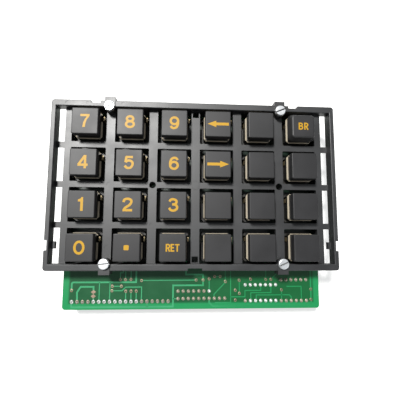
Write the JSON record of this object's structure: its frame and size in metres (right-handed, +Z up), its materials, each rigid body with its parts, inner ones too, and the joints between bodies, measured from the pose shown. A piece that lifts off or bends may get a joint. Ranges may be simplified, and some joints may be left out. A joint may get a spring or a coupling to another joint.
{
  "type": "numeric keypad",
  "caption": "Panel keypad module: square sprung keys with digits, arrows and blanks in a moulded lattice frame, screwed over a circuit board on threaded spacers.",
  "frame": {"origin": "centre of the four threaded spacer feet on the plane the module stands on, straight below the centre of the key lattice", "axes": "+X along a row of keys to the right, +Y away from the connector edge of the board, +Z up out of the key caps"},
  "size_m": [0.1352, 0.1005, 0.027],
  "materials": {
    "frame_plastic": "moulded, fine grain",
    "cap_plastic": "satin, lightly worn",
    "plunger_nylon": "natural nylon",
    "housing_nylon": "natural nylon",
    "board": "solder mask over woven laminate",
    "screw_steel": "zinc plated",
    "spacer_metal": "nickel plated",
    "spring_steel": "drawn wire",
    "contact_brass": "stamped",
    "connector_plastic": "glass-filled, matt",
    "tinned_metal": "tinned",
    "chip_plastic": "moulded epoxy",
    "network_coating": "dipped coating",
    "resistor_coating": "painted with colour bands",
    "legend": "second-shot moulding",
    "copper_trace": "copper under solder mask"
  },
  "bodies": {
    "module": {"key_frame": "frame_plastic", "circuit_board": "board", "frame_screws": "screw_steel", "board_spacers": "spacer_metal", "switch_housings": "housing_nylon", "return_springs": "spring_steel", "switch_contacts": "contact_brass", "connector_body": "connector_plastic", "connector_pins": "tinned_metal", "logic_chip": "chip_plastic", "resistor_networks": "network_coating", "series_resistors": "resistor_coating"},
    "key_seven": {"plunger_seven": "plunger_nylon", "cap_seven": "cap_plastic"},
    "key_eight": {"plunger_eight": "plunger_nylon", "cap_eight": "cap_plastic"},
    "key_nine": {"plunger_nine": "plunger_nylon", "cap_nine": "cap_plastic"},
    "key_left_arrow": {"plunger_left_arrow": "plunger_nylon", "cap_left_arrow": "cap_plastic"},
    "key_blank_1": {"plunger_blank_1": "plunger_nylon", "cap_blank_1": "cap_plastic"},
    "key_break": {"plunger_break": "plunger_nylon", "cap_break": "cap_plastic"},
    "key_four": {"plunger_four": "plunger_nylon", "cap_four": "cap_plastic"},
    "key_five": {"plunger_five": "plunger_nylon", "cap_five": "cap_plastic"},
    "key_six": {"plunger_six": "plunger_nylon", "cap_six": "cap_plastic"},
    "key_right_arrow": {"plunger_right_arrow": "plunger_nylon", "cap_right_arrow": "cap_plastic"},
    "key_blank_2": {"plunger_blank_2": "plunger_nylon", "cap_blank_2": "cap_plastic"},
    "key_blank_3": {"plunger_blank_3": "plunger_nylon", "cap_blank_3": "cap_plastic"},
    "key_one": {"plunger_one": "plunger_nylon", "cap_one": "cap_plastic"},
    "key_two": {"plunger_two": "plunger_nylon", "cap_two": "cap_plastic"},
    "key_three": {"plunger_three": "plunger_nylon", "cap_three": "cap_plastic"},
    "key_blank_4": {"plunger_blank_4": "plunger_nylon", "cap_blank_4": "cap_plastic"},
    "key_blank_5": {"plunger_blank_5": "plunger_nylon", "cap_blank_5": "cap_plastic"},
    "key_blank_6": {"plunger_blank_6": "plunger_nylon", "cap_blank_6": "cap_plastic"},
    "key_zero": {"plunger_zero": "plunger_nylon", "cap_zero": "cap_plastic"},
    "key_point": {"plunger_point": "plunger_nylon", "cap_point": "cap_plastic"},
    "key_return": {"plunger_return": "plunger_nylon", "cap_return": "cap_plastic"},
    "key_blank_7": {"plunger_blank_7": "plunger_nylon", "cap_blank_7": "cap_plastic"},
    "key_blank_8": {"plunger_blank_8": "plunger_nylon", "cap_blank_8": "cap_plastic"},
    "key_blank_9": {"plunger_blank_9": "plunger_nylon", "cap_blank_9": "cap_plastic"}
  },
  "joints": [
    {"name": "press_seven", "type": "slide", "parent": "module", "child": "key_seven", "axis": [0, 0, -1], "range_m": [0, 0.003], "stiffness_N_per_m": 100, "springref_m": -0.003, "deforming": ["return_springs"]},
    {"name": "press_eight", "type": "slide", "parent": "module", "child": "key_eight", "axis": [0, 0, -1], "range_m": [0, 0.003], "stiffness_N_per_m": 100, "springref_m": -0.003, "deforming": ["return_springs"]},
    {"name": "press_nine", "type": "slide", "parent": "module", "child": "key_nine", "axis": [0, 0, -1], "range_m": [0, 0.003], "stiffness_N_per_m": 100, "springref_m": -0.003, "deforming": ["return_springs"]},
    {"name": "press_left_arrow", "type": "slide", "parent": "module", "child": "key_left_arrow", "axis": [0, 0, -1], "range_m": [0, 0.003], "stiffness_N_per_m": 100, "springref_m": -0.003, "deforming": ["return_springs"]},
    {"name": "press_blank_1", "type": "slide", "parent": "module", "child": "key_blank_1", "axis": [0, 0, -1], "range_m": [0, 0.003], "stiffness_N_per_m": 100, "springref_m": -0.003, "deforming": ["return_springs"]},
    {"name": "press_break", "type": "slide", "parent": "module", "child": "key_break", "axis": [0, 0, -1], "range_m": [0, 0.003], "stiffness_N_per_m": 100, "springref_m": -0.003, "deforming": ["return_springs"]},
    {"name": "press_four", "type": "slide", "parent": "module", "child": "key_four", "axis": [0, 0, -1], "range_m": [0, 0.003], "stiffness_N_per_m": 100, "springref_m": -0.003, "deforming": ["return_springs"]},
    {"name": "press_five", "type": "slide", "parent": "module", "child": "key_five", "axis": [0, 0, -1], "range_m": [0, 0.003], "stiffness_N_per_m": 100, "springref_m": -0.003, "deforming": ["return_springs"]},
    {"name": "press_six", "type": "slide", "parent": "module", "child": "key_six", "axis": [0, 0, -1], "range_m": [0, 0.003], "stiffness_N_per_m": 100, "springref_m": -0.003, "deforming": ["return_springs"]},
    {"name": "press_right_arrow", "type": "slide", "parent": "module", "child": "key_right_arrow", "axis": [0, 0, -1], "range_m": [0, 0.003], "stiffness_N_per_m": 100, "springref_m": -0.003, "deforming": ["return_springs"]},
    {"name": "press_blank_2", "type": "slide", "parent": "module", "child": "key_blank_2", "axis": [0, 0, -1], "range_m": [0, 0.003], "stiffness_N_per_m": 100, "springref_m": -0.003, "deforming": ["return_springs"]},
    {"name": "press_blank_3", "type": "slide", "parent": "module", "child": "key_blank_3", "axis": [0, 0, -1], "range_m": [0, 0.003], "stiffness_N_per_m": 100, "springref_m": -0.003, "deforming": ["return_springs"]},
    {"name": "press_one", "type": "slide", "parent": "module", "child": "key_one", "axis": [0, 0, -1], "range_m": [0, 0.003], "stiffness_N_per_m": 100, "springref_m": -0.003, "deforming": ["return_springs"]},
    {"name": "press_two", "type": "slide", "parent": "module", "child": "key_two", "axis": [0, 0, -1], "range_m": [0, 0.003], "stiffness_N_per_m": 100, "springref_m": -0.003, "deforming": ["return_springs"]},
    {"name": "press_three", "type": "slide", "parent": "module", "child": "key_three", "axis": [0, 0, -1], "range_m": [0, 0.003], "stiffness_N_per_m": 100, "springref_m": -0.003, "deforming": ["return_springs"]},
    {"name": "press_blank_4", "type": "slide", "parent": "module", "child": "key_blank_4", "axis": [0, 0, -1], "range_m": [0, 0.003], "stiffness_N_per_m": 100, "springref_m": -0.003, "deforming": ["return_springs"]},
    {"name": "press_blank_5", "type": "slide", "parent": "module", "child": "key_blank_5", "axis": [0, 0, -1], "range_m": [0, 0.003], "stiffness_N_per_m": 100, "springref_m": -0.003, "deforming": ["return_springs"]},
    {"name": "press_blank_6", "type": "slide", "parent": "module", "child": "key_blank_6", "axis": [0, 0, -1], "range_m": [0, 0.003], "stiffness_N_per_m": 100, "springref_m": -0.003, "deforming": ["return_springs"]},
    {"name": "press_zero", "type": "slide", "parent": "module", "child": "key_zero", "axis": [0, 0, -1], "range_m": [0, 0.003], "stiffness_N_per_m": 100, "springref_m": -0.003, "deforming": ["return_springs"]},
    {"name": "press_point", "type": "slide", "parent": "module", "child": "key_point", "axis": [0, 0, -1], "range_m": [0, 0.003], "stiffness_N_per_m": 100, "springref_m": -0.003, "deforming": ["return_springs"]},
    {"name": "press_return", "type": "slide", "parent": "module", "child": "key_return", "axis": [0, 0, -1], "range_m": [0, 0.003], "stiffness_N_per_m": 100, "springref_m": -0.003, "deforming": ["return_springs"]},
    {"name": "press_blank_7", "type": "slide", "parent": "module", "child": "key_blank_7", "axis": [0, 0, -1], "range_m": [0, 0.003], "stiffness_N_per_m": 100, "springref_m": -0.003, "deforming": ["return_springs"]},
    {"name": "press_blank_8", "type": "slide", "parent": "module", "child": "key_blank_8", "axis": [0, 0, -1], "range_m": [0, 0.003], "stiffness_N_per_m": 100, "springref_m": -0.003, "deforming": ["return_springs"]},
    {"name": "press_blank_9", "type": "slide", "parent": "module", "child": "key_blank_9", "axis": [0, 0, -1], "range_m": [0, 0.003], "stiffness_N_per_m": 100, "springref_m": -0.003, "deforming": ["return_springs"]}
  ]
}
